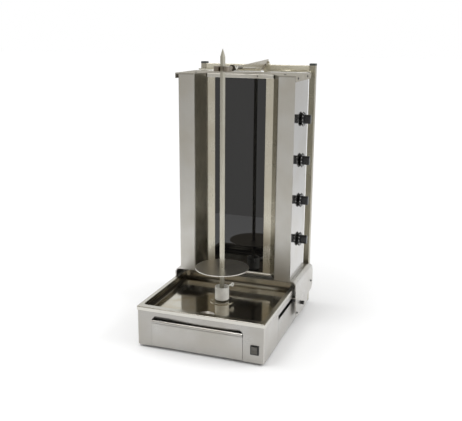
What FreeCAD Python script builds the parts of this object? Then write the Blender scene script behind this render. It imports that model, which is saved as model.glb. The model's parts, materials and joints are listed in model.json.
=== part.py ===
"""Upright electric doner grill, as separate pieces in millimetres.

X is to the right, Y goes back and Z is up. Everything is measured from the spit's axis at bench
level, and save() then moves it so that the origin is the middle of the footprint.
"""
import FreeCAD, Part
import os
from math import cos, pi, radians, sin, tan

V = FreeCAD.Vector
os.makedirs("parts", exist_ok=True)

# Base box and tray
ORIGIN_Y = 94.75            # middle of the footprint, behind the spit's axis
FOOT = 8                    # height of the rubber feet
BODY_X = 247                # half width of the box
BODY_FRONT, BODY_BACK = -237, 401
RIM_X, RIM_FRONT, RIM_Z = 250, -240, 160
SHEET = 1.5
RIM_DROP = 14               # how far the rim's edge is folded down
TRAY_BACK = 224             # the tray ends here and the rear deck begins
PAN_X, PAN_FRONT, PAN_BACK = 233, -215, 200
PAN_FLOOR, PAN_CORNER, PAN_ROUND = 127, 15, 13
REAR_TOP = 184              # the rear sheet stands above the deck and closes the gap below the heater
SEAM_Y = -59                # where the front sheet ends low down on each side
SLOT_LOW, SLOT_HIGH = 105, 123   # the carriage's guide slot along each side
DRAIN, DRAIN_R, DISH_R = (-5, -153), 14, 30

# Fat drawer and switch, in the front face
DRAWER_X0, DRAWER_X1, DRAWER_BACK = -189, 166, -74
DRAWER_FLOOR, DRAWER_BOX_TOP, DRAWER_HEM = 14, 102, 3
GAP_LEFT, GAP_RIGHT = 0.5, 1.4         # between the drawer's front and the sheet round it
LIP_OUT, LIP_Z = -241.5, 113.5         # front and top of the lip that fingers pull
OPENING_TOP, OPENING_SLANT = 129, 14   # the opening's upper corners are cut off by this much
SCOOP_BACK, SCOOP_BEND, SCOOP_LOW = -223, 115, 109.5
SWITCH_X, SWITCH_Z, SWITCH_Y = 212, 57, -228
BEZEL_X, BEZEL_Z = 16, 18              # half width and half height
ROCKER_X, ROCKER_Z, ROCKER_OUT, ROCKER_TILT = 10.6, 12, -246.5, 7

# Drive, hub and spit
SHAFT_R, RUNNING = 8, 0.05
HUB_R, HUB_LOW, HUB_TOP = 27.5, 134, 186
SPIT, SPIT_TOP, SPIT_TURN = 13, 1088, -25
HUB_SCREW_Z, HUB_SCREW_TURN = 179, 65
DISC_R, DISC_Z = 104, 262

# Frame behind, and the arm that steadies the spit
POST_X, POST_Y, TUBE, WALL, PLUG = 235, 413.5, 25, 1.5, 10.6
FRAME_TOP = 1017
ARM_TURN = -5.96            # the arm points at the spit from right of the middle
ARM_TILT = -2.18            # and falls a little towards its back end
ARM_Z, PIVOT_S, PIVOT_Z = 1020.5, 416, 1025.5
ROD_R, ROD_END, SLOT_R, BALL_R = 4, 345, 11.5, 9.5
BRACKET_X = 42

# Carriage and heater housing
SADDLE_X, SADDLE_TOP, SADDLE_T = 261, 189, 2
SADDLE_BACK, HEM = 375, 4.5
GUIDE_Y, GUIDE_TOP = 136, 122.4         # front guides, in the slots
BUSH_Y, BUSH_Z, BUSH_R = 330, 114, 8.5  # rear guides
CLAMP_Y, CLAMP_Z, CLAMP_END = 236, 68, 272
CHEEK_SCREWS = ((164.5, 50), (394, 109.5))
HOUSE_X, HOUSE_FRONT, HOUSE_BACK = 236, 136, 337
WING_X, GLASS_X, GLASS_FRONT = 171, 135, 196
HOUSE_LOW, HOUSE_TOP = 191, 989.5
THIN = 1.2
KNOB_Y, KNOB_TOP_Z, KNOB_PITCH = 251, 819.7, 161.7
KNOB_R, GRIP_END = 28.5, 272
ZONE_Z = (290, 485, 680, 875)

PLACE = {"xy": lambda a, b, h: V(a, b, h), "xz": lambda a, b, h: V(a, h, b), "yz": lambda a, b, h: V(h, a, b)}
ALONG = {"xy": V(0, 0, 1), "xz": V(0, 1, 0), "yz": V(1, 0, 0)}


def box(x0, x1, y0, y1, z0, z1):
    """A block between these bounds. The two in X may come in either order."""
    return Part.makeBox(abs(x1 - x0), y1 - y0, z1 - z0, V(min(x0, x1), y0, z0))


def rod(r, start, end):
    axis = V(*end) - V(*start)
    return Part.makeCylinder(r, axis.Length, V(*start), axis)


def taper(r0, r1, start, end):
    axis = V(*end) - V(*start)
    return Part.makeCone(r0, r1, axis.Length, V(*start), axis)


def tube(r_out, r_in, start, end):
    return rod(r_out, start, end).cut(rod(r_in, start, end))


def fuse(first, *others):
    return first.multiFuse(list(others)).removeSplitter()


def cut(shape, *tools):
    return shape.cut(list(tools))


def mirrored(shape):
    return shape.mirror(V(0, 0, 0), V(1, 0, 0))


def turned(shape, angle, axis=(0, 0, 1), at=(0, 0, 0)):
    copy = shape.copy()
    copy.rotate(V(*at), V(*axis), angle)
    return copy


def round_corner(before, at, after, r):
    """Start, middle and end of the arc that rounds one corner."""
    u, w = (before - at).normalize(), (after - at).normalize()
    half = u.getAngle(w) / 2
    centre = at + (u + w).normalize() * (r / sin(half))
    return at + u * (r / tan(half)), centre + (at - centre).normalize() * r, at + w * (r / tan(half))


def outline(points, radii, closed=True):
    """Edges through the points, with the corners rounded."""
    count, made, last = len(points), [], None
    corners = range(count) if closed else range(1, count - 1)
    arcs = {i: round_corner(points[i - 1], points[i], points[(i + 1) % count], radii[i])
            for i in corners if radii[i] > 0}
    stops = [(arcs[i][0], arcs[i][2]) if i in arcs else (points[i], points[i]) for i in range(count)]
    for i in range(count):
        if i in arcs:
            made.append(Part.Arc(*arcs[i]).toShape())
        if closed or i < count - 1:
            last = stops[(i + 1) % count][0]
            if (last - stops[i][1]).Length > 1e-6:
                made.append(Part.makeLine(stops[i][1], last))
    return made


def spread(radii, count):
    return [radii] * count if isinstance(radii, (int, float)) else list(radii)


def plate(points, plane, lo, hi, radii=0):
    """A flat piece with the given outline, from lo to hi across its plane."""
    placed = [PLACE[plane](a, b, lo) for a, b in points]
    face = Part.Face(Part.Wire(Part.__sortEdges__(outline(placed, spread(radii, len(points))))))
    return face.extrude(ALONG[plane] * (hi - lo))


def bent(points, t, plane, lo, hi, radii=0):
    """Sheet folded along a path. The thickness t goes to the path's left, or right if negative."""
    flat = [V(a, b, 0) for a, b in points]
    ways = [(b - a).normalize() for a, b in zip(flat, flat[1:])]
    left = [V(-w.y, w.x, 0) for w in ways]
    radii, other, other_radii = spread(radii, len(flat)), [], []
    for i, point in enumerate(flat):
        if 0 < i < len(flat) - 1:
            mitre = (left[i - 1] + left[i]).normalize()
            other.append(point + mitre * (t / mitre.dot(left[i])))
            turn = 1 if ways[i - 1].cross(ways[i]).z > 0 else -1
            other_radii.append(max(radii[i] - t * turn, 0) if radii[i] else 0)
        else:
            other.append(point + left[min(i, len(left) - 1)] * t)
            other_radii.append(0)
    lift = lambda p: PLACE[plane](p.x, p.y, lo)
    near, far = [lift(p) for p in flat], [lift(p) for p in other]
    sides = outline(near, radii, False) + outline(far, other_radii, False)
    ends = [Part.makeLine(near[0], far[0]), Part.makeLine(near[-1], far[-1])]
    face = Part.Face(Part.Wire(Part.__sortEdges__(sides + ends)))
    return face.extrude(ALONG[plane] * (hi - lo))


def rectangle(x0, x1, y0, y1):
    return [(x0, y0), (x1, y0), (x1, y1), (x0, y1)]


def square_bar(side, z0, z1, turn):
    return turned(box(-side / 2, side / 2, -side / 2, side / 2, z0, z1), turn)


def hexagon(across, start, end):
    """Hexagonal bar along Y."""
    r = across / 2 / cos(pi / 6)
    points = [(start[0] + r * cos(i * pi / 3), start[2] + r * sin(i * pi / 3)) for i in range(6)]
    return plate(points, "xz", start[1], end[1])


def around(r, turn, z):
    return (r * cos(radians(turn)), r * sin(radians(turn)), z)


def save(name, *shapes):
    solids = [solid for shape in shapes for solid in shape.Solids]
    whole = solids[0] if len(solids) == 1 else Part.makeCompound(solids)
    whole.translated(V(0, -ORIGIN_Y, 0)).exportStep(f"parts/{name}.step")


def base():
    inner_x, top = BODY_X - SHEET, RIM_Z - SHEET
    x0, x1 = DRAWER_X0 - GAP_LEFT, DRAWER_X1 + GAP_RIGHT
    drawer_opening = plate([(x0, 0), (x0, LIP_Z), (x0 + OPENING_SLANT, OPENING_TOP),
                            (x1 - OPENING_SLANT, OPENING_TOP), (x1, LIP_Z), (x1, 0)], "xz", -240, -230)
    shell = bent([(-BODY_X, BODY_BACK), (-BODY_X, BODY_FRONT), (BODY_X, BODY_FRONT), (BODY_X, BODY_BACK)],
                 SHEET, "xy", FOOT, top, 4)
    shell = cut(shell,
                box(-250, -240, SEAM_Y, 402, 0, SLOT_HIGH), box(240, 250, SEAM_Y, 402, 0, SLOT_HIGH),
                drawer_opening,
                box(SWITCH_X - 13, SWITCH_X + 13, -240, -230, SWITCH_Z - 15.2, SWITCH_Z + 15.2))
    hems = [box(side * inner_x, side * (inner_x - 12), BODY_FRONT + 6, SEAM_Y, FOOT, FOOT + SHEET)
            for side in (-1, 1)]
    save("base_shell", fuse(shell, *hems))

    side = bent([(BODY_X, SLOT_LOW), (BODY_X, FOOT), (BODY_X - 11, FOOT)], -SHEET, "xz", SEAM_Y + 1,
                BODY_BACK - SHEET, 2.5)
    save("side_panel_right", side)
    save("side_panel_left", mirrored(side))

    feet = [(x, y) for x in (-212, 212) for y in (-196, 366)]
    vents = [plate(rectangle(-52, 52, y, y + 7), "xy", 0, 20, 3.4) for y in range(130, 230, 16)]
    bottom = box(-243.5, 243.5, -234.5, 397.5, FOOT + SHEET, FOOT + 2 * SHEET)
    save("base_bottom", cut(bottom, *vents, *[rod(2.7, (x, y, 0), (x, y, 20)) for x, y in feet]))
    save("base_feet", *[fuse(taper(14, 16, (x, y, 0), (x, y, FOOT + SHEET)),
                             rod(2.5, (x, y, FOOT), (x, y, FOOT + 9))) for x, y in feet])

    rear = bent([(388, FOOT), (BODY_BACK, FOOT), (BODY_BACK, top)], SHEET, "yz", -234, 234, 2.5)
    rear = fuse(rear, plate(rectangle(-inner_x, inner_x, FOOT + 4, REAR_TOP), "xz", BODY_BACK - SHEET,
                            BODY_BACK, (0, 0, 8, 8)))
    vents = [plate(rectangle(x, x + 6, 60, 125), "xz", 390, 410, 2.9) for x in range(-130, 20, 15)]
    bolts = [(s * POST_X, z) for s in (-1, 1) for z in (45, 122)]
    rear = cut(rear, *vents, rod(10.2, (150, 390, 50), (150, 410, 50)),
               *[rod(4.2, (x, 390, z), (x, 410, z)) for x, z in bolts])
    save("base_rear", rear)
    gland = fuse(hexagon(26, (150, 401, 50), (150, 406, 50)), rod(11, (150, 406, 50), (150, 412, 50)),
                 taper(11, 8, (150, 412, 50), (150, 418, 50)), rod(10, (150, 393, 50), (150, 401, 50)),
                 hexagon(25, (150, 393, 50), (150, 399.5, 50)))
    save("cable_gland", cut(gland, rod(4.5, (150, 392, 50), (150, 420, 50))))

    deck = bent([(-RIM_X, RIM_Z - RIM_DROP), (-RIM_X, RIM_Z), (RIM_X, RIM_Z), (RIM_X, RIM_Z - RIM_DROP)],
                -SHEET, "xz", TRAY_BACK + 1.5, BODY_BACK - SHEET, 2.5)
    save("rear_deck", deck)


def tray():
    def pan(grow, above):
        """The pan's hollow, or its outside if grown, with a round all along its floor."""
        sides = rectangle(-PAN_X - grow, PAN_X + grow, PAN_FRONT - grow, PAN_BACK + grow)
        block = plate(sides, "xy", PAN_FLOOR - grow, RIM_Z + above, PAN_CORNER + grow)
        foot = [edge for edge in block.Edges if edge.BoundBox.ZMax < PAN_FLOOR + 0.01]
        return block.makeFillet(PAN_ROUND + grow, foot)

    outer = plate(rectangle(-RIM_X, RIM_X, RIM_FRONT, TRAY_BACK), "xy", RIM_Z - RIM_DROP, RIM_Z, (6, 6, 0, 0))
    outer = outer.makeFillet(2.8, [e for e in outer.Edges if e.BoundBox.ZMin > RIM_Z - 0.01
                                   and e.BoundBox.YMin < TRAY_BACK - 1])
    inner = plate(rectangle(-RIM_X + SHEET, RIM_X - SHEET, RIM_FRONT + SHEET, TRAY_BACK + 5), "xy",
                  RIM_Z - RIM_DROP - 5, RIM_Z - SHEET, (4.5, 4.5, 0, 0))
    holes = [rod(r, (*at, 120), (*at, 130)) for r, at in ((17, (0, 0)), (DISH_R, DRAIN))]
    save("drip_tray", cut(fuse(outer.cut(inner), pan(SHEET, 0)), pan(0, 0.01), *holes))

    x, y = DRAIN
    floor, spout, edge = PAN_FLOOR, DRAIN_R + SHEET, DISH_R - 0.2
    dish = [(DRAIN_R, 112), (spout, 112), (spout, floor - 6.6), (edge - 8.3, floor - 5.4), (edge, floor - 0.8),
            (edge, floor), (edge + 2.4, floor), (edge + 2, floor + 0.8), (edge - 0.2, floor + 1),
            (edge - 8.8, floor - 3.8), (DRAIN_R + 1.2, floor - 5), (DRAIN_R, floor - 6.4)]
    section = Part.Face(Part.makePolygon([V(x + r, y, z) for r, z in [*dish, dish[0]]]))
    save("tray_drain", section.revolve(V(x, y, 0), V(0, 0, 1), 360))

    ring = tube(47, 17.2, (0, 0, PAN_FLOOR), (0, 0, PAN_FLOOR + 3))
    heads = [taper(4.5, 3, around(38, a, PAN_FLOOR + 3), around(38, a, PAN_FLOOR + 5.6))
             for a in (80, 200, 320)]
    save("hub_ring", ring, *heads)


def drawer():
    x0, x1 = DRAWER_X0 - 5, DRAWER_X1 + 5
    inside = BODY_FRONT + SHEET
    scoop = bent([(inside, 142), (inside, OPENING_TOP - 1), (SCOOP_BACK, SCOOP_BEND), (SCOOP_BACK, SCOOP_LOW),
                  (SCOOP_BACK + 7, SCOOP_LOW)], THIN, "yz", x0, x1, (0, 14, 7, 2, 0))
    back = SCOOP_BACK + THIN
    end = [(inside, OPENING_TOP), (back, SCOOP_BEND), (back, SCOOP_LOW), (inside, SCOOP_LOW)]
    save("finger_pocket", fuse(scoop, *[plate(end, "yz", x, x + THIN) for x in (x0 - THIN, x1)]))

    front = bent([(BODY_FRONT, 9.5), (BODY_FRONT, LIP_Z - 15.5), (LIP_OUT, LIP_Z - 9), (LIP_OUT, LIP_Z - 4),
                  (LIP_OUT + 5, LIP_Z), (LIP_OUT + 10, LIP_Z - 3.5)], -THIN, "yz", DRAWER_X0, DRAWER_X1,
                 (0, 5, 3, 3.5, 3, 0))
    cheeks = [box(x, x + THIN, BODY_FRONT + THIN, -229, 12, 97) for x in (DRAWER_X0, DRAWER_X1 - THIN)]
    save("drawer_front", front, *cheeks)

    y0, y1, low, top = BODY_FRONT + THIN, DRAWER_BACK, DRAWER_FLOOR + THIN, DRAWER_BOX_TOP
    sides = ((-1, DRAWER_X0 + 7), (1, DRAWER_X1 - 7))
    x0, x1 = (x for _, x in sides)
    panels = [box(x0, x1, y0, y1, DRAWER_FLOOR, low), box(x0, x1, y0, y0 + THIN, low, top),
              box(x0, x1, y1 - THIN, y1, low, top)]
    rails = []
    for side, x in sides:
        panels.append(fuse(box(x, x - side * THIN, y0 + THIN, y1 - THIN, low, top),
                           box(x, x + side * DRAWER_HEM, y0 + THIN, y1 - THIN, top - THIN, top)))
        rails.append(fuse(box(x - side * 8, x + side * 2, -232, y1, 11, 13.7),
                          box(x + side, x + side * 4, -232, y1, 11, 32)))
    save("drawer_box", *panels)
    save("drawer_rails", *rails)


def switch():
    x, z, pivot_y = SWITCH_X, SWITCH_Z, SWITCH_Y
    plain = rectangle(x - BEZEL_X, x + BEZEL_X, z - BEZEL_Z, z + BEZEL_Z)
    bezel = fuse(plate(plain, "xz", BODY_FRONT - 2.5, BODY_FRONT, 2),
                 box(x - 12.7, x + 12.7, BODY_FRONT, -212, z - 14.9, z + 14.9))
    bezel = cut(bezel, box(x - ROCKER_X - 0.3, x + ROCKER_X + 0.3, -245, -214, z - 13.6, z + 13.6),
                rod(1.5 + RUNNING, (x - 12, pivot_y, z), (x + 12, pivot_y, z)))
    save("switch_bezel", bezel)
    low, high = z - ROCKER_Z, z + ROCKER_Z
    side = [(ROCKER_OUT + 2, z), (ROCKER_OUT, low), (-232, low), (-222, z), (-232, high), (ROCKER_OUT, high)]
    rocker = fuse(plate(side, "yz", x - ROCKER_X, x + ROCKER_X),
                  rod(1.5, (x - 11.8, pivot_y, z), (x + 11.8, pivot_y, z)))
    save("switch_rocker", turned(rocker, -ROCKER_TILT, (1, 0, 0), (x, pivot_y, z)))


def drive():
    legs = [rod(6, (x, y, 11), (x, y, 40)) for x in (-64, 64) for y in (-52, 98)]
    bracket = fuse(plate(rectangle(-74, 74, -62, 110), "xy", 40, 43, 8), *legs)
    save("motor_bracket", cut(bracket, rod(12, (0, 0, 35), (0, 0, 45))))
    gearbox = plate(rectangle(-42, 42, -42, 62), "xy", 43, 95, 6)
    ribs = [rod(34, (0, y, 79), (0, y + 3, 79)) for y in (70, 80, 90, 100)]
    can = fuse(rod(32, (0, 62, 79), (0, 150, 79)), rod(24, (0, 150, 79), (0, 158, 79)), *ribs)
    save("gear_motor", cut(fuse(gearbox, can), rod(SHAFT_R + RUNNING, (0, 0, 40), (0, 0, 100))))
    save("drive_shaft", rod(SHAFT_R, (0, 0, 50), (0, 0, 138)))
    bearing = fuse(rod(30, (0, 0, 118), (0, 0, 125.5)), rod(16, (0, 0, 108), (0, 0, 131)))
    save("shaft_bearing", cut(bearing, rod(SHAFT_R + RUNNING, (0, 0, 100), (0, 0, 140))))

    cup = rod(HUB_R, (0, 0, HUB_LOW), (0, 0, HUB_TOP))
    rims = [e for e in cup.Edges if e.Closed]
    cup = cup.makeChamfer(3, [rims[0] if rims[0].BoundBox.ZMin < 150 else rims[1]])
    threads = [rod(3, around(15, a, HUB_SCREW_Z), around(35, a, HUB_SCREW_Z))
               for a in (HUB_SCREW_TURN, HUB_SCREW_TURN + 180)]
    save("hub_cup", cut(cup, rod(HUB_R - 5, (0, 0, 152), (0, 0, HUB_TOP + 1)), *threads,
                        square_bar(SPIT + 0.3, 140, 153, SPIT_TURN),
                        rod(SHAFT_R, (0, 0, HUB_LOW - 1), (0, 0, 138))))

    def out(r):
        return around(r, HUB_SCREW_TURN, HUB_SCREW_Z)
    across = V(*around(1, HUB_SCREW_TURN + 90, 0))
    eye, hole = [rod(r, tuple(V(*out(57)) - across * h), tuple(V(*out(57)) + across * h))
                 for r, h in ((8, 2.2), (3.6, 4))]
    save("hub_screw", cut(fuse(rod(3 - RUNNING, out(7), out(51)), rod(4.5, out(44), out(48)), eye), hole))


def spit():
    half = SPIT / 2
    corners = ((-1, -1), (1, -1), (1, 1), (-1, 1), (-1, -1))
    squares = [Part.makePolygon([V(x * h, y * h, z) for x, y in corners])
               for h, z in ((half, SPIT_TOP - 28), (0.6, SPIT_TOP))]
    point = Part.makeLoft(squares, True, True)
    bar = fuse(box(-half, half, -half, half, 140, SPIT_TOP - 28), point)
    save("spit", turned(bar, SPIT_TURN))
    hole = square_bar(SPIT + 0.6, 200, 300, SPIT_TURN)
    save("disc", rod(DISC_R, (0, 0, DISC_Z), (0, 0, DISC_Z + 3)).cut(hole))
    a, z = HUB_SCREW_TURN + 90, DISC_Z - 9
    collar = fuse(rod(20, (0, 0, DISC_Z - 18), (0, 0, DISC_Z)), rod(3, around(8, a, z), around(30, a, z)),
                  rod(6.5, around(28, a, z), around(36, a, z)))
    save("disc_collar", collar.cut(hole))


def frame():
    half = TUBE / 2
    low, bolts = 14, [(s * POST_X, z) for s in (-1, 1) for z in (45, 122)]
    for side, name in ((-1, "left"), (1, "right")):
        x = side * POST_X
        square = [plate(rectangle(x - h, x + h, POST_Y - h, POST_Y + h), "xy", z0, z1, r)
                  for h, z0, z1, r in ((half, low, FRAME_TOP, 2), (half - WALL, low - 1, FRAME_TOP + 1, 0.8))]
        holes = [rod(4.2, (x, 390, z), (x, 430, z)) for _, z in bolts[:2]]
        save(f"post_{name}", cut(square[0], square[1], *holes))
    caps = []
    for x in (-POST_X, POST_X):
        def block(h, z0, z1):
            return box(x - h, x + h, POST_Y - h, POST_Y + h, z0, z1)
        top = plate(rectangle(x - 13, x + 13, POST_Y - 13, POST_Y + 13), "xy", FRAME_TOP, FRAME_TOP + 8, 2)
        top = top.makeChamfer(1.5, [edge for edge in top.Edges if edge.BoundBox.ZMin > FRAME_TOP + 7.9])
        caps += [fuse(top, block(PLUG, FRAME_TOP - 12, FRAME_TOP)),
                 fuse(block(half, low - 3, low), block(PLUG, low, low + 12))]
    save("post_caps", *caps)
    middle = FRAME_TOP - half
    bar, hollow = [plate(rectangle(POST_Y - h, POST_Y + h, middle - h, middle + h), "yz", -x, x, r)
                   for h, x, r in ((half, POST_X - half, 2), (half - WALL, POST_X, 0.8))]
    save("crossbar", bar.cut(hollow))
    save("post_bolts", *[fuse(rod(4, (x, 392, z), (x, 427, z)), hexagon(13, (x, 426, z), (x, 430.5, z)),
                              hexagon(13, (x, 393, z), (x, 399.5, z))) for x, z in bolts])


def arm():
    """Built along Y with its end on the spit, then turned a little to meet the crossbar."""
    def place(name, *shapes):
        save(name, *[turned(shape, ARM_TURN) for shape in shapes])

    def along(s, up=0):
        """A point on the sloping rod's axis, or so far above it."""
        return (0, s, ARM_Z + s * tan(radians(ARM_TILT)) + up)

    def tilted(shape):
        return turned(shape, ARM_TILT, (1, 0, 0), (0, 0, ARM_Z))

    front, back, top = POST_Y - TUBE / 2, POST_Y + TUBE / 2, FRAME_TOP + 3
    clip = bent([(front, 986), (front, FRAME_TOP), (back, FRAME_TOP), (back, 986)], 3, "yz", BRACKET_X - 10,
                BRACKET_X + 10, (0, 0.5, 0.5, 0))
    bolts = [rod(2.8, (x, front - 6, 988.5), (x, back + 6, 988.5)) for x in (BRACKET_X - 5, BRACKET_X + 5)]
    ear = rectangle(PIVOT_S - 7, PIVOT_S + 5, top - 1, PIVOT_Z + 5)
    ears = [plate(ear, "yz", x, x + 3, (0, 0, 4.5, 4.5)) for x in (-5.5, 2.5)]
    pin = rod(3, (-8, PIVOT_S, PIVOT_Z), (8, PIVOT_S, PIVOT_Z))
    save("arm_bracket", fuse(clip, *bolts, *[turned(shape, ARM_TURN) for shape in (*ears, pin)]))

    stem = rod(ROD_R, (0, 26, ARM_Z), (0, ROD_END, ARM_Z))
    flare = plate([(285, -3.6), (285, 3.6), (322, 4), (357, 12.5), (341, -3.6)], "yz", -3.5, 3.5,
                  (0, 0, 70, 3, 2))
    arm_rod = tilted(fuse(stem, flare.translated(V(0, 0, ARM_Z))))
    web = plate([along(129)[1:], along(129, 6.2)[1:], (421, 1038.5), (421, top + 0.3), (398, top + 0.3),
                 along(398)[1:]], "yz", -2, 2, (0, 0, 2, 4.8, 0, 0))
    stay = plate([(392, top + 1), (399, top + 1), (399, 1011), (371, 994), (354, 994)], "yz", -6, 6,
                 (0, 0, 0, 2, 2))
    window = plate([(362, 1012), (388, top - 1), (366, 1000), (350, 1000)], "yz", -3, 3)
    web = fuse(cut(web, arm_rod, window), stay)
    place("arm_plate", cut(web, rod(3 + RUNNING, (-3, PIVOT_S, PIVOT_Z), (3, PIVOT_S, PIVOT_Z))))
    place("arm_rod", arm_rod)

    sleeve = taper(6.5, 4.6, (0, 119, ARM_Z), (0, 165, ARM_Z))
    washer = rod(12, (0, 78, ARM_Z), (0, 82, ARM_Z))
    hollow = rod(ROD_R, (0, 70, ARM_Z), (0, 170, ARM_Z))
    place("arm_collar", tilted(washer.cut(hollow)), tilted(sleeve.cut(hollow)).cut(web))
    ball = fuse(Part.makeSphere(BALL_R, V(0, 109, ARM_Z)), rod(7, (0, 83, ARM_Z), (0, 104, ARM_Z)))
    place("arm_ball", tilted(ball.cut(rod(ROD_R + RUNNING, (0, 70, ARM_Z), (0, 130, ARM_Z)))))

    low, high = ARM_Z - 13, ARM_Z + 6
    jaw = plate([(-31, -17), (29, -17), (29, 18), (14, 28), (-14, 28), (-31, 18)], "xy", low, high,
                (8, 6, 6, 4, 4, 6))
    mouth = fuse(rod(SLOT_R, (0, 0, low - 1), (0, 0, high + 1)),
                 box(-SLOT_R, SLOT_R, -30, 0, low - 1, high + 1))
    jaw = fuse(jaw, rod(9, (0, 26, ARM_Z - 3), (0, 62, ARM_Z - 3)), rod(7, (0, 60, ARM_Z), (0, 77.5, ARM_Z)))
    place("arm_fork", tilted(cut(jaw, mouth, rod(ROD_R, (0, 26, ARM_Z), (0, 90, ARM_Z)))))


def carriage():
    t, x = SADDLE_T, SADDLE_X
    path = [(-x, 28), (-x, SADDLE_TOP), (x, SADDLE_TOP), (x, 28)]
    sheet = bent(path, -t, "xz", 138, 428, 20)
    cheek = [(138, 200), (138, 150), (146, 60), (164, 28), (300, 28), (336, 36), (343, 68), (407, 68),
             (427, 88), (424, 152), (412, 172), (382, 200)]
    sheet = sheet.common(plate(cheek, "yz", -300, 300, (0, 30, 40, 14, 20, 20, 5, 14, 10, 20, 20, 0)))
    hem = plate([(138, 200), (138, 150), (146, 60), (150, 48), (152, 48), (148, 60), (140, 150), (140, 200)],
                "yz", -300, 300)
    sheet = fuse(sheet, bent(path, -HEM, "xz", 138, 200, 20).common(hem))
    for side in (-1, 1):
        sheet = cut(sheet, rod(4 + RUNNING, (side * 250, CLAMP_Y, CLAMP_Z), (side * 270, CLAMP_Y, CLAMP_Z)),
                    plate(rectangle(177, 181, 80, 103), "yz", side * 264 - 8, side * 264 + 8, 1.9))
    sheet = cut(sheet, box(-249.5, 249.5, SADDLE_BACK, 430, 150, 200),
                plate(rectangle(-WING_X + 3, WING_X - 3, 120, GLASS_FRONT), "xy", 180, 200, (0, 0, 6, 6)))
    save("carriage_saddle", sheet)

    bar = box(241, x - t, GUIDE_Y, GUIDE_Y + 24, GUIDE_TOP - 4, GUIDE_TOP)
    bush = rod(BUSH_R, (241, BUSH_Y, BUSH_Z), (x - t, BUSH_Y, BUSH_Z))
    bar = bar.cut(sheet)
    save("carriage_bushes", bar, bush, mirrored(bar), mirrored(bush))
    pads = [box(241, x - t, GUIDE_Y + 1, GUIDE_Y + 23, 105.6, GUIDE_TOP - 4).cut(sheet),
            box(x - t - 3, x - t, 172, 187, 78, 105)]
    save("glide_pads", *pads, *[mirrored(pad) for pad in pads])
    for side, name in ((-1, "left"), (1, "right")):
        at = lambda d: (side * d, CLAMP_Y, CLAMP_Z)
        grip = rod(7.5, at(262), at(CLAMP_END))
        grooves = [rod(1.3, tuple(V(*at(261)) + V(0, *around(8, a, 0)[:2])),
                       tuple(V(*at(CLAMP_END + 1)) + V(0, *around(8, a, 0)[:2]))) for a in range(0, 360, 45)]
        save(f"clamp_bolt_{name}", cut(fuse(rod(4, at(249), at(263)), grip), *grooves))


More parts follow.
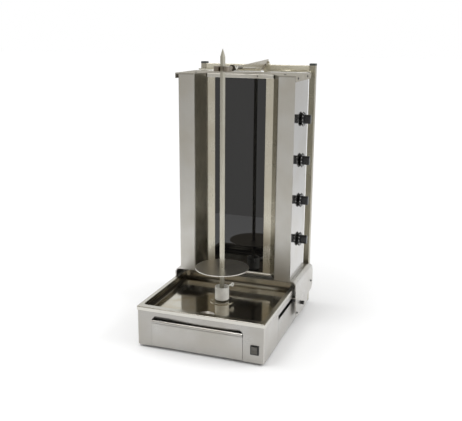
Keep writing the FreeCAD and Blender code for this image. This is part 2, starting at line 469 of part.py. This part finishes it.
def housing():
    hx, front, back, lo, hi = HOUSE_X, HOUSE_FRONT, HOUSE_BACK, HOUSE_LOW, HOUSE_TOP
    glass_y = GLASS_FRONT
    left = [(-hx, back), (-hx, front), (-WING_X, front), (-GLASS_X, glass_y)]
    right = [(GLASS_X, glass_y), (WING_X, front), (hx - THIN, front)]
    save("wing_left", bent(left, THIN, "xy", lo, hi, (0, 3, 3, 0)))
    save("wing_right", bent(right, THIN, "xy", lo, hi, (0, 3, 0)))
    knobs = [KNOB_TOP_Z - i * KNOB_PITCH for i in range(4)]
    panel = bent([(hx, front), (hx, back - THIN), (hx - 12, back - THIN)], THIN, "xy", lo, hi, (0, 2, 0))
    save("control_panel", cut(panel, *[rod(5.5, (hx - 5, KNOB_Y, z), (hx + 5, KNOB_Y, z)) for z in knobs]))
    slots = [plate(rectangle(x, x + 7, z, z + 60), "xz", 330, 340, 3.4)
             for z in (230, 890) for x in range(-150, 150, 18)]
    save("back_panel", cut(box(-hx + THIN, hx, back - THIN, back, lo, hi), *slots))

    x0, y0 = hx - THIN, front + THIN
    half = [(x0, back - THIN), (x0, y0), (WING_X, y0), (GLASS_X + 2, glass_y)]
    plan = [(-x, y) for x, y in half] + half[::-1]
    save("housing_floor", plate(plan, "xy", SADDLE_TOP, lo))

    y0, y1 = front - 2, back + 3
    recess_x, recess_y = GLASS_X - 0.7, glass_y - 2.5
    cap = plate([(-248, y1), (-248, y0), (-WING_X, y0), (-recess_x, recess_y), (recess_x, recess_y),
                 (WING_X, y0), (hx + SHEET, y0), (hx + SHEET, y1)], "xy", hi, hi + SHEET,
                (2, 2, 0, 0, 0, 0, 1, 1))
    left = plate(rectangle(y0, y1, 970, 990), "yz", -248, -246.5, (3, 3, 0, 0))
    right = plate([(y0, 968), (y0, 990), (y1 + 34, 990), (y1 + 34, 968)], "yz", hx, hx + SHEET,
                  (3, 0, 10, 10))
    lips = [box(x0, x1, y0, y0 + SHEET, 985.5, 990) for x0, x1 in ((-247, -WING_X), (WING_X, hx + 1))]
    save("top_cap", fuse(cap, left, right, *lips))

    screws = [taper(5.5, 3.5, (x, 185, hi + SHEET), (x, 185, hi + SHEET + 2)) for x in (-182, 182)]
    screws += [taper(4.6, 3.5, (hx + SHEET, y, 980), (hx + SHEET + 2.5, y, 980)) for y in (168, 312)]
    screws += [taper(4.6, 3.5, (side * SADDLE_X, y, z), (side * (SADDLE_X + 3), y, z))
               for side in (-1, 1) for y, z in CHEEK_SCREWS]
    save("carriage_screws", *screws)

    trim = bent([(glass_y - 0.5, 974), (189, 974), (189, hi), (glass_y - 3, hi)], -THIN, "yz", 0.1 - GLASS_X,
                GLASS_X - 0.1, (0, 2, 2, 0))
    save("top_trim", cut(trim, rod(2.5, (71, 180, 983), (71, 200, 983))))
    ledge = plate(rectangle(190, glass_y, 182, SADDLE_TOP), "yz", -GLASS_X - 4, GLASS_X + 4, (1, 0, 0, 3))
    save("bottom_trim", ledge)
    save("light_strips", *[box(side * 105, side * GLASS_X, glass_y, glass_y + THIN, lo, hi)
                           for side in (-1, 1)])
    save("glass_panel", box(-108, 108, glass_y + THIN, glass_y + THIN + 4, lo, hi))

    units = []
    for z in ZONE_Z:
        unit = box(-98, 98, 203, 226, z - 88, z + 88).cut(box(-88, 88, 202, 216, z - 78, z + 78))
        units.append(fuse(unit, *[box(-84, 84, 208, 216, z + dz, z + dz + 5) for dz in range(-66, 70, 25)]))
    save("radiant_units", *units)
    save("insulation_board", box(-112, 112, 226, 248, lo, hi))
    blocks = []
    for z in knobs:
        block = fuse(box(204, 231, KNOB_Y - 18, KNOB_Y + 18, z - 18, z + 18),
                     rod(7, (231, KNOB_Y, z), (hx - THIN, KNOB_Y, z)),
                     rod(5, (234, KNOB_Y, z), (hx + 1, KNOB_Y, z)))
        blocks.append(block.cut(rod(3 + RUNNING, (214, KNOB_Y, z), (240, KNOB_Y, z))))
    save("regulators", *blocks)
    for i, z in enumerate(knobs):
        at = lambda x: (x, KNOB_Y, z)
        skirt = fuse(taper(KNOB_R - 4.5, KNOB_R, at(237.6), at(241.5)), rod(KNOB_R, at(241.5), at(243)),
                     taper(KNOB_R, KNOB_R - 4, at(243), at(247)))
        grip = plate(rectangle(KNOB_Y - 9.5, KNOB_Y + 9.5, z - 17.5, z + 17.5), "yz", 246, GRIP_END, 8)
        grip = grip.makeChamfer(2, [e for e in grip.Edges if e.BoundBox.XMin > GRIP_END - 0.1])
        save(f"knob_{i + 1}", fuse(skirt, grip, rod(3, at(216), at(238))))


base()
tray()
drawer()
switch()
drive()
spit()
frame()
arm()
carriage()
housing()
print("pieces:", len(os.listdir("parts")))
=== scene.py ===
"""Upright doner grill on a white floor, dressed over the solid model. Metres, front towards -Y."""
import json
from math import cos, radians, sin

import bmesh
import bpy
from mathutils import Matrix, Vector

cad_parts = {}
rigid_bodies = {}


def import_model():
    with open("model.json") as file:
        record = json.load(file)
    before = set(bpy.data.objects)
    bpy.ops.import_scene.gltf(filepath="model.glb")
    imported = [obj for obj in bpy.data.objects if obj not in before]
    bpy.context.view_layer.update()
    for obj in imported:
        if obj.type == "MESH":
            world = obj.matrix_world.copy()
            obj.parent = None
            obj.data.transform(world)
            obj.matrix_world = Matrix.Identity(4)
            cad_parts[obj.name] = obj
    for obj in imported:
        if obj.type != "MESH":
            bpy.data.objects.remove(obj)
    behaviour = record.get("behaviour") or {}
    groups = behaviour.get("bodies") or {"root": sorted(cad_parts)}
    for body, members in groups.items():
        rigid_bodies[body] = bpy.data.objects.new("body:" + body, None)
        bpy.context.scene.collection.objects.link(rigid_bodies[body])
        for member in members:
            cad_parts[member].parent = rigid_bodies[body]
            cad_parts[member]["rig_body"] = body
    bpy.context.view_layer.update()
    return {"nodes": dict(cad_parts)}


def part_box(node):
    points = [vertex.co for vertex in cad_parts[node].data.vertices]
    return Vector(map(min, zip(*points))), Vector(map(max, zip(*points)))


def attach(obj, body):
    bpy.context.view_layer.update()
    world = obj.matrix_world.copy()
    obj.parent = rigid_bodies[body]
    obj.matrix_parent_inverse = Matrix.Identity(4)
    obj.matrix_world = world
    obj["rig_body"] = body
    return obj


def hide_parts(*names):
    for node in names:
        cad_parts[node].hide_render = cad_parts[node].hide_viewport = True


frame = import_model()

NODES = frame["nodes"]

# Camera, as the picture was taken
EYE = (0.8986, -2.50375, 1.15025)
TURN, TILT, ROLL = radians(19.72), radians(75.62), radians(0.36)
SENSOR, LENS, SIGHT = 36.0, 54.61, 50

# Floor, just under the feet. It ends in front of the grill, where the glass shows its edge.
FLOOR_REACH, FLOOR_FRONT, FLOOR_DROP = 30.0, -1.417, 0.0005
FLOOR_WHITE = 0.93                        # as light and metal find it
FLOOR_NEAR, FLOOR_FAR = 0.87, 1.40        # as the camera sees it, nearer and farther than the fade
FADE = (0.4, 4.5)

# Room, as metal and glass see it
ROOM_FRONT, ROOM_FRONT_HIGH = (0.71, 0.70, 0.68), (0.36, 0.32, 0.26)
ROOM_BACK, ROOM_BACK_HIGH = (0.92, 0.92, 0.91), (0.86, 0.86, 0.83)
ROOM_LEFT = (0.28, 0.27, 0.24)
CEILING = (0.22, 0.19, 0.15)
# Where one gives way to the next, along the parts of the direction: height, across or depth
FRONT_RISE, BACK_RISE, CEILING_RISE = (0.02, 0.16), (0.05, 0.4), (0.5, 0.9)
FRONT_TO_LEFT, FRONT_TO_BACK = (-0.46, -0.53), (-0.45, 0.1)
# Light on matt surfaces, from below and from above
ROOM_LOW, ROOM_TOP = 0.42, 0.90

# Lamps: name, place, aim, size, power, and whether metal mirrors them
LAMPS = [
    ("soft key", (-0.59, -0.75, 2.5), (-0.1, -0.3, 0.1), 1.0, 15, True),
    ("right light", (2.1, 0.1, 1.7), (0.2, 0, 0.1), 1.2, 26, False),
    ("left light", (-2.1, 0.0, 1.6), (-0.2, 0, 0.1), 1.2, 18, False),
]

# Noise: its stretch for a grain along an axis, and spans of its values, which lie mostly around 0.5
GRAIN = {"X": (0.02, 1, 1), "Y": (1, 0.02, 1), "Z": (1, 1, 0.02)}
EVEN = (1, 1, 1)
MIDDLE, WIDE, UPPER = (0.35, 0.65), (0.3, 0.7), (0.4, 0.7)

# Sheet steel: how fine its lines and clouds are, and how they shade it
LINES, CLOUDS = 900, 9
CLOUD_SHADE, LINE_SHADE = (0.93, 0.91, 0.87), (0.86, 0.86, 0.86)
LINE_SHARE, LINE_ROUGH, LINE_BUMP = 0.35, 0.06, 0.5

# Wings: from this far behind their front edge they are smoother, and darker in colour with painted shade
WING_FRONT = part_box("wing_left")[0].y
BESIDE_FROM, BESIDE_TO = 0.002, 0.006
WING_ROUGH, BESIDE_SMOOTHING = 0.35, 0.19

# Base: its front's darker colour, painted shade, turns into its sides' lighter colour this far inside its
# corners
BASE_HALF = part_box("base_shell")[1].x
TURN_FROM, TURN_TO, BASE_ROUGH = 0.004, 0.001, 0.29

# Drip tray: heights of its floor and rim, and heights above the floor where the painted shade in the round at
# its foot starts and ends
PAN_FLOOR, PAN_EDGE = 0.127, 0.145
RIM_FROM, RIM_TO = PAN_EDGE - 0.002, PAN_EDGE + 0.001
SHADE_FOOT, SHADE_TOP = (0.0002, 0.0012), (0.016, 0.010)
PAN_LINES, PAN_STAINS, STAIN_SHADE = 700, 14, (0.86, 0.8, 0.7)
PAN_POLISH, RIM_ROUGH, FOOT_ROUGH, PAN_LINE_ROUGH = (0.07, 0.13), 0.1, 0.3, 0.04

# Thickness of the sheets that are made here
SHEET = 0.0008

# Finger pocket: how the sheet bends in, slowly at its top and faster towards its foot
POCKET_TOP, POCKET_FOOT, POCKET_DEPTH = 0.1297, 0.1105, 0.0072
POCKET_BEND, POCKET_INSET, POCKET_STEPS = 1.7, 0.0002, 14

# Hem bars: their fold from the side, as depth and height, and how far they stay from the cap's ends and
# the arm's bracket
HEM_FOLD = [(0, 0), (0, 0.0055), (-0.0007, 0.0065), (-0.0021, 0.0065), (-0.0028, 0.0055), (-0.0028, 0.002)]
HEM_INSET, HEM_SINK, HEM_END, HEM_CLEAR = 0.0002, 0.001, 0.002, 0.004

# Knob scale: the skirt's sloping edge starts at SKIRT_FACE and is as deep as it is high.
# Marks and the arc lie on it, from its outer rim (0) to its inner one (1).
KNOBS = 4
SKIRT_FACE, SKIRT_SLOPE = 0.243, 0.004
MARKS, MARK_FROM, MARK_STEP, MARK_WIDTH, MARK_STAND = 9, -30, 30, 0.0007, 0.0001
MARK_OUTER, MARK_INNER = 0.2, 0.8
ARC_FROM, ARC_TO, ARC_STEPS = 215, 320, 12
ARC_INNER, ARC_OUTER, ARC_WIDENS = 0.85, 0.78, 0.55


def grey(level):
    return (level,) * 3


class Tone:
    """A socket of a material that can be added, subtracted and multiplied, each time by a node."""

    def __init__(self, shop, socket):
        self.shop, self.socket = shop, socket

    def maths(self, operation, a, b):
        return self.shop.node("ShaderNodeMath", dict(operation=operation), {0: a, 1: b})

    def __add__(self, other):
        return self.maths("ADD", self, other)

    def __sub__(self, other):
        return self.maths("SUBTRACT", self, other)

    def __rsub__(self, other):
        return self.maths("SUBTRACT", other, self)

    def __mul__(self, other):
        return self.maths("MULTIPLY", self, other)

    def between(self, low, high, out_low=0.0, out_high=1.0):
        """The value moved from one span to another, and held at the span's ends."""
        return self.shop.node("ShaderNodeMapRange", {}, {0: self, 1: low, 2: high, 3: out_low, 4: out_high})


class Finish:
    """The nodes of a material, or of the room around the grill, under construction."""

    def __init__(self, owner, spot="Object"):
        self.owner = owner
        owner.use_nodes = True
        self.tree = owner.node_tree
        self.tree.nodes.clear()
        self.spot = self.node("ShaderNodeTexCoord", {}, {}, spot)

    @classmethod
    def named(cls, name):
        return cls(bpy.data.materials.new(name))

    def node(self, kind, settings, values, out=0):
        """One node: its settings first, then the values or links of its sockets."""
        made = self.tree.nodes.new(kind)
        for key, value in settings.items():
            setattr(made, key, value)
        for key, value in values.items():
            if isinstance(value, Tone):
                self.tree.links.new(value.socket, made.inputs[key])
            else:
                made.inputs[key].default_value = value
        return Tone(self, made.outputs[out]) if made.outputs else None

    def parts(self):
        """The three coordinates of the spot that is shaded."""
        return [self.node("ShaderNodeSeparateXYZ", {}, {0: self.spot}, axis) for axis in "XYZ"]

    def noise(self, scale, stretch=EVEN, detail=2.0, rough=0.5):
        place = self.node("ShaderNodeMapping", {}, {"Vector": self.spot, "Scale": stretch})
        return self.node("ShaderNodeTexNoise", {}, {"Vector": place, "Scale": scale, "Detail": detail,
                                                    "Roughness": rough})

    def mix(self, amount, a, b):
        """Colour a where amount is 0 and b where it is 1."""
        colours = [c if isinstance(c, Tone) else (*c, 1.0) for c in (a, b)]
        return self.node("ShaderNodeMix", dict(data_type="RGBA"),
                         {0: amount, 6: colours[0], 7: colours[1]}, 2)

    def shaded(self, colour, by):
        """A colour, written or worked out, times another."""
        if isinstance(colour, Tone):
            return self.node("ShaderNodeMix", dict(data_type="RGBA", blend_type="MULTIPLY"),
                             {0: 1.0, 6: colour, 7: (*by, 1.0)}, 2)
        return tuple(c * k for c, k in zip(colour, by))

    def bump(self, height, distance, strength):
        return self.node("ShaderNodeBump", {}, {"Height": height, "Distance": distance, "Strength": strength})

    def surface(self, **values):
        """The closing shader. Its sockets go by name, with underscores for spaces."""
        named = {key.replace("_", " "): value for key, value in values.items()}
        if not isinstance(named["Base Color"], Tone):
            named["Base Color"] = (*named["Base Color"], 1.0)
        shader = self.node("ShaderNodeBsdfPrincipled", {}, named)
        self.node("ShaderNodeOutputMaterial", {}, {"Surface": shader})
        return self.owner


def sheet_steel(made, colour, rough, grain, wander=0.05, scratch=0.00002):
    """Steel with fine lines along one axis and faint clouds of polish and handling."""
    lines = made.noise(LINES, GRAIN[grain], 3, 0.7)
    clouds = made.noise(CLOUDS, EVEN, 3)
    tint = made.mix(clouds.between(*MIDDLE), colour, made.shaded(colour, CLOUD_SHADE))
    streaked = made.mix(lines.between(*WIDE, 0, LINE_SHARE), tint, made.shaded(colour, LINE_SHADE))
    polish = clouds.between(*WIDE, -wander, wander) + lines.between(*WIDE, 0, LINE_ROUGH) + rough
    return made.surface(Base_Color=streaked, Metallic=1.0, Roughness=polish,
                        Normal=made.bump(lines, scratch, LINE_BUMP))


def brushed_steel(name, colour, rough, grain, wander=0.05, scratch=0.00002):
    return sheet_steel(Finish.named(name), colour, rough, grain, wander, scratch)


def wing_steel(name, colour, painted_shade):
    """Dull in front; smoother on the faces beside the glass, and darker there with painted shade."""
    made = Finish.named(name)
    beside = made.parts()[1].between(WING_FRONT + BESIDE_FROM, WING_FRONT + BESIDE_TO)
    # The second colour, on the faces beside the glass, is painted shade
    return sheet_steel(made, made.mix(beside, colour, painted_shade), WING_ROUGH - beside * BESIDE_SMOOTHING, "Z")


def base_steel_shaded_front(name, front, side):
    """The sheet that wraps the base: darker in front than round its sides, with painted shade."""
    made = Finish.named(name)
    out = made.node("ShaderNodeMath", dict(operation="ABSOLUTE"), {0: made.parts()[0]})
    beside = out.between(BASE_HALF - TURN_FROM, BASE_HALF - TURN_TO)
    return sheet_steel(made, made.mix(beside, front, side), BASE_ROUGH, "X")


def pan_steel(name, pan, rim, foot_shade):
    """Drip tray: polished and stained inside, darker with painted shade in the round at its foot, duller
    along the rim.
    """
    made = Finish.named(name)
    height = made.parts()[2]
    lines = made.noise(PAN_LINES, GRAIN["X"], 3, 0.7)
    stains = made.noise(PAN_STAINS, EVEN, 4, 0.6)
    edge = height.between(RIM_FROM, RIM_TO)
    stained = made.mix(stains.between(*UPPER), pan, made.shaded(pan, STAIN_SHADE))
    above = height - PAN_FLOOR
    # Darker in the round at the foot: painted shade
    foot = above.between(*SHADE_FOOT) * above.between(*SHADE_TOP)
    foot_shaded = made.mix(foot, stained, foot_shade)
    polish = stains.between(*MIDDLE, *PAN_POLISH)
    return made.surface(Base_Color=made.mix(edge, foot_shaded, rim), Metallic=1.0,
                        Roughness=(polish + edge * RIM_ROUGH + foot * FOOT_ROUGH
                                   + lines.between(*WIDE, 0, PAN_LINE_ROUGH)),
                        Normal=made.bump(lines, 0.00001, 0.4))


def satin(name, colour, metal, rough):
    """Turned or cast metal with a dull, finely pitted face."""
    made = Finish.named(name)
    pits = made.noise(1200)
    clouds = made.noise(40, detail=3)
    tint = made.mix(clouds.between(*MIDDLE), colour, made.shaded(colour, grey(0.88)))
    return made.surface(Base_Color=tint, Metallic=metal,
                        Roughness=clouds.between(*WIDE, rough - 0.04, rough + 0.05),
                        Normal=made.bump(pits, 0.00003, 0.5))


def plastic(name, colour, rough, grain_size=0.00005):
    """Moulded or painted stuff with a fine grain, paler where it is worn."""
    made = Finish.named(name)
    speckle = made.noise(700)
    worn = made.noise(30, detail=3)
    tint = made.mix(worn.between(*UPPER, 0, 0.5), colour, tuple(c * 1.5 + 0.01 for c in colour))
    return made.surface(Base_Color=tint, Roughness=worn.between(*WIDE, rough - 0.05, rough + 0.08),
                        Normal=made.bump(speckle, grain_size, 0.6))


def dark_glass(name):
    """Black glass with faint upright smears."""
    made = Finish.named(name)
    smear = made.noise(6, (1, 1, 0.3), 4)
    return made.surface(Base_Color=(0.004, 0.004, 0.0045), Roughness=smear.between(*UPPER, 0.0, 0.03),
                        IOR=1.63)


# Front-facing steel, darker than the side steel: painted shade
front_steel_painted_shade = brushed_steel("front steel", (0.44, 0.43, 0.41), 0.30, "X")
# Its first colour, for the front, is darker than its second, for the sides: painted shade
wrap_steel_painted_shade = base_steel_shaded_front("base steel", (0.41, 0.40, 0.38), (0.575, 0.565, 0.545))
cap_steel = satin("cap steel", (0.33, 0.31, 0.265), 0.25, 0.85)
ring_steel = brushed_steel("ring steel", (0.64, 0.62, 0.56), 0.14, "X")
side_steel = brushed_steel("side steel", (0.57, 0.56, 0.54), 0.26, "Y")
upright_steel = brushed_steel("upright steel", (0.54, 0.53, 0.50), 0.28, "Z")
# Its second colour, for the faces beside the glass, is painted shade
wing_steel_painted_shade = wing_steel("wing steel", (0.58, 0.57, 0.54), (0.39, 0.375, 0.33))
mirror_steel = brushed_steel("polished steel", (0.57, 0.565, 0.555), 0.10, "Z", 0.02)
# The last colour is painted shade in the round at the tray's foot
tray_steel = pan_steel("tray steel", (0.60, 0.58, 0.52), (0.57, 0.555, 0.51), (0.11, 0.10, 0.08))
trim_steel = brushed_steel("trim steel", (0.66, 0.645, 0.60), 0.28, "X")
strip_steel = brushed_steel("strip steel", (0.64, 0.61, 0.52), 0.26, "Z")
frame_steel = brushed_steel("frame steel", (0.47, 0.45, 0.375), 0.24, "Z")
bar_steel = brushed_steel("crossbar steel", (0.83, 0.80, 0.68), 0.24, "X")
spit_steel = brushed_steel("spit steel", (0.58, 0.56, 0.485), 0.34, "Z")
disc_steel = brushed_steel("disc steel", (0.73, 0.715, 0.67), 0.30, "X", 0.03)
turned_steel = brushed_steel("turned steel", (0.62, 0.61, 0.585), 0.30, "X")
hub_steel = satin("hub steel", (0.95, 0.94, 0.88), 0.1, 0.4)
arm_steel = brushed_steel("arm steel", (0.62, 0.60, 0.55), 0.22, "Y")
fork_steel = brushed_steel("fork steel", (0.38, 0.34, 0.29), 0.24, "Y")
dark_steel = brushed_steel("dark steel", (0.17, 0.16, 0.135), 0.25, "Y")
chrome = brushed_steel("chrome", (0.75, 0.74, 0.70), 0.08, "X", 0.02)
alloy = brushed_steel("cast alloy", (0.45, 0.45, 0.46), 0.5, "X", 0.08, 0.0001)
glass = dark_glass("dark glass")
black_plastic = plastic("black plastic", (0.018, 0.018, 0.018), 0.42)
rocker_plastic = plastic("rocker plastic", (0.085, 0.08, 0.07), 0.35)
knob_plastic = plastic("knob plastic", (0.012, 0.012, 0.013), 0.22)
cap_plastic = plastic("cap plastic", (0.045, 0.05, 0.048), 0.45)
rubber = plastic("foot rubber", (0.012, 0.012, 0.012), 0.7, 0.0002)
print_white = plastic("white print", (0.62, 0.62, 0.60), 0.5)
board = plastic("insulation board", (0.55, 0.52, 0.46), 0.9, 0.0004)

DRESS = {
    front_steel_painted_shade: ("drawer_front", "finger_pocket"),
    wrap_steel_painted_shade: ("base_shell",),
    trim_steel: ("bottom_trim", "top_trim"),
    side_steel: ("side_panel_left", "side_panel_right", "rear_deck", "carriage_saddle"),
    cap_steel: ("top_cap",),
    ring_steel: ("hub_ring",),
    upright_steel: ("back_panel", "base_rear"),
    wing_steel_painted_shade: ("wing_left", "wing_right"),
    mirror_steel: ("control_panel",),
    tray_steel: ("drip_tray",),
    strip_steel: ("light_strips",),
    frame_steel: ("post_left", "post_right"),
    bar_steel: ("crossbar", "arm_bracket"),
    spit_steel: ("spit",),
    disc_steel: ("disc", "disc_collar"),
    turned_steel: ("tray_drain", "drive_shaft", "shaft_bearing", "carriage_bushes", "post_bolts",
                   "drawer_box", "drawer_rails", "base_bottom", "housing_floor", "motor_bracket"),
    hub_steel: ("hub_cup", "hub_screw"),
    arm_steel: ("arm_plate", "arm_rod"),
    fork_steel: ("arm_fork",),
    dark_steel: ("arm_collar",),
    chrome: ("arm_ball",),
    alloy: ("gear_motor",),
    glass: ("glass_panel",),
    black_plastic: ("switch_bezel", "cable_gland", "clamp_bolt_left", "clamp_bolt_right", "glide_pads",
                    "carriage_screws", "regulators"),
    rocker_plastic: ("switch_rocker",),
    knob_plastic: ("knob_1", "knob_2", "knob_3", "knob_4"),
    cap_plastic: ("post_caps",),
    rubber: ("base_feet",),
    board: ("insulation_board", "radiant_units"),
}
for material, names in DRESS.items():
    for name in names:
        mesh = NODES[name].data
        mesh.materials.clear()
        mesh.materials.append(material)


def add(name, data):
    """A new object in the scene."""
    made = bpy.data.objects.new(name, data)
    bpy.context.collection.objects.link(made)
    return made


def grid(name, rows, material, body):
    """A smooth sheet through rows of points, row by row, with a finish and a body to ride on."""
    width = len(rows[0])
    faces = [(i * width + j, i * width + j + 1, (i + 1) * width + j + 1, (i + 1) * width + j)
             for i in range(len(rows) - 1) for j in range(width - 1)]
    mesh = bpy.data.meshes.new(name)
    mesh.from_pydata([point for row in rows for point in row], [], faces)
    mesh.polygons.foreach_set("use_smooth", [True] * len(faces))
    mesh.materials.append(material)
    piece = add(name, mesh)
    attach(piece, body)
    return piece


def thicken(piece, thickness):
    sheet = piece.modifiers.new("sheet", "SOLIDIFY")
    sheet.thickness, sheet.offset = thickness, -1


def roll_pocket():
    """The hollow above the drawer's lip: the panel rolls back into it on a growing bend."""
    low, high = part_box("finger_pocket")
    front, ends = low.y + POCKET_INSET, (low.x, high.x)
    rows = [[(x, front, high.z) for x in ends]]
    for step in range(POCKET_STEPS + 1):
        part = step / POCKET_STEPS
        depth = front + POCKET_DEPTH * part ** POCKET_BEND
        height = POCKET_TOP + (POCKET_FOOT - POCKET_TOP) * part
        rows.append([(x, depth, height) for x in ends])
    roll = grid("pocket_roll", rows, front_steel_painted_shade, NODES["finger_pocket"]["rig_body"])
    thicken(roll, SHEET)
    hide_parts("finger_pocket")


def hem_cap():
    """Two thin folded bars, meant as a hem on the cap's rear edge at both sides of the arm's bracket.

    They hang free, 30 mm behind the cap's plate, because the cap's box reaches back to its side flange.
    """
    low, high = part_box("top_cap")
    arm_left, arm_right = (corner.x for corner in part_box("arm_bracket"))
    spans = {"cap_hem_left": (low.x + HEM_END, arm_left - HEM_CLEAR),
             "cap_hem_right": (arm_right + HEM_CLEAR, high.x - HEM_END)}
    back, foot = high.y - HEM_INSET, high.z - HEM_SINK
    for name, ends in spans.items():
        rows = [[(x, back + y, foot + z) for x in ends] for y, z in HEM_FOLD]
        thicken(grid(name, rows, bar_steel, NODES["top_cap"]["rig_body"]), SHEET)


def print_dial(number):
    """The scale on a knob's skirt: short marks, and a long arc that widens, as for more heat."""
    knob = f"knob_{number}"
    low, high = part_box(knob)
    middle = (low + high) / 2
    radius = (high.z - low.z) / 2

    def on_skirt(turn, part):
        """A point on the skirt's sloping edge, part of the way from its outer to its inner rim."""
        reach = radius - SKIRT_SLOPE * part + MARK_STAND
        return (SKIRT_FACE + SKIRT_SLOPE * part + MARK_STAND, middle.y + reach * cos(turn),
                middle.z + reach * sin(turn))

    shape = bmesh.new()
    spread = MARK_WIDTH / radius
    for mark in range(MARKS):
        turn = radians(MARK_FROM + mark * MARK_STEP)
        corners = [(turn - spread, MARK_OUTER), (turn + spread, MARK_OUTER),
                   (turn + spread, MARK_INNER), (turn - spread, MARK_INNER)]
        shape.faces.new([shape.verts.new(on_skirt(*corner)) for corner in corners])
    turns = [radians(ARC_FROM + (ARC_TO - ARC_FROM) * i / ARC_STEPS) for i in range(ARC_STEPS + 1)]
    inner = [shape.verts.new(on_skirt(turn, ARC_INNER)) for turn in turns]
    outer = [shape.verts.new(on_skirt(turn, ARC_OUTER - ARC_WIDENS * i / ARC_STEPS))
             for i, turn in enumerate(turns)]
    for i in range(ARC_STEPS):
        shape.faces.new([outer[i], outer[i + 1], inner[i + 1], inner[i]])
    mesh = bpy.data.meshes.new(f"dial_{number}")
    shape.to_mesh(mesh)
    shape.free()
    mesh.materials.append(print_white)
    dial = add(f"dial_{number}", mesh)
    thicken(dial, 2 * MARK_STAND)
    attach(dial, NODES[knob]["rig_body"])


def place_camera():
    camera = add("camera", bpy.data.cameras.new("camera"))
    camera.data.sensor_width, camera.data.lens, camera.data.clip_end = SENSOR, LENS, SIGHT
    camera.matrix_world = (Matrix.Translation(EYE) @ Matrix.Rotation(TURN, 4, "Z")
                           @ Matrix.Rotation(TILT, 4, "X") @ Matrix.Rotation(ROLL, 4, "Z"))
    bpy.context.scene.camera = camera


def lay_floor():
    """White floor. To the camera it brightens with distance, until it runs into the white behind it."""
    left, right, front, back = -FLOOR_REACH, FLOOR_REACH, FLOOR_FRONT, FLOOR_REACH
    mesh = bpy.data.meshes.new("floor")
    mesh.from_pydata([(left, front, 0), (right, front, 0), (right, back, 0), (left, back, 0)], [],
                     [(0, 1, 2, 3)])
    floor = add("floor", mesh)
    floor.location.z = -FLOOR_DROP
    made = Finish.named("floor white")
    away = made.node("ShaderNodeVectorMath", dict(operation="LENGTH"), {0: made.spot}, "Value")
    seen = made.node("ShaderNodeLightPath", {}, {}, "Is Camera Ray")
    paper = made.mix(away.between(*FADE), grey(FLOOR_NEAR), grey(FLOOR_FAR))
    white = made.mix(seen, grey(FLOOR_WHITE), paper)
    matt = made.node("ShaderNodeBsdfDiffuse", {}, {"Color": white})
    made.node("ShaderNodeOutputMaterial", {}, {"Surface": matt})
    mesh.materials.append(made.owner)


def light_room():
    """White to the camera and even to matt surfaces. Metal and glass see walls, and a dark ceiling."""
    world = bpy.data.worlds.new("studio")
    bpy.context.scene.world = world
    made = Finish(world, "Generated")
    across, depth, height = made.parts()
    middle = made.mix(height.between(*FRONT_RISE), ROOM_FRONT, ROOM_FRONT_HIGH)
    front = made.mix(across.between(*FRONT_TO_LEFT), middle, ROOM_LEFT)
    back = made.mix(height.between(*BACK_RISE), ROOM_BACK, ROOM_BACK_HIGH)
    walls = made.mix(depth.between(*FRONT_TO_BACK), front, back)
    room = made.mix(height.between(*CEILING_RISE), walls, CEILING)
    shiny = made.node("ShaderNodeLightPath", {}, {}, "Is Glossy Ray")
    camera = made.node("ShaderNodeLightPath", {}, {}, "Is Camera Ray")
    light = made.mix(height, grey(ROOM_LOW), grey(ROOM_TOP))
    matt = made.mix(camera, light, grey(1))
    sky = made.node("ShaderNodeBackground", {}, {"Color": made.mix(shiny, matt, room), "Strength": 1.0})
    made.node("ShaderNodeOutputWorld", {}, {"Surface": sky})


def hang_lamp(name, at, aim, size, power, mirrored):
    lamp = bpy.data.lights.new(name, "AREA")
    lamp.shape, lamp.size, lamp.energy = "SQUARE", size, power
    carrier = add(name, lamp)
    carrier.location = at
    carrier.visible_glossy = mirrored
    carrier.rotation_euler = (Vector(aim) - Vector(at)).to_track_quat("-Z", "Y").to_euler()


roll_pocket()
hem_cap()
for number in range(1, KNOBS + 1):
    print_dial(number)
place_camera()
lay_floor()
light_room()
for lamp in LAMPS:
    hang_lamp(*lamp)
bpy.context.scene.view_settings.view_transform = "Standard"
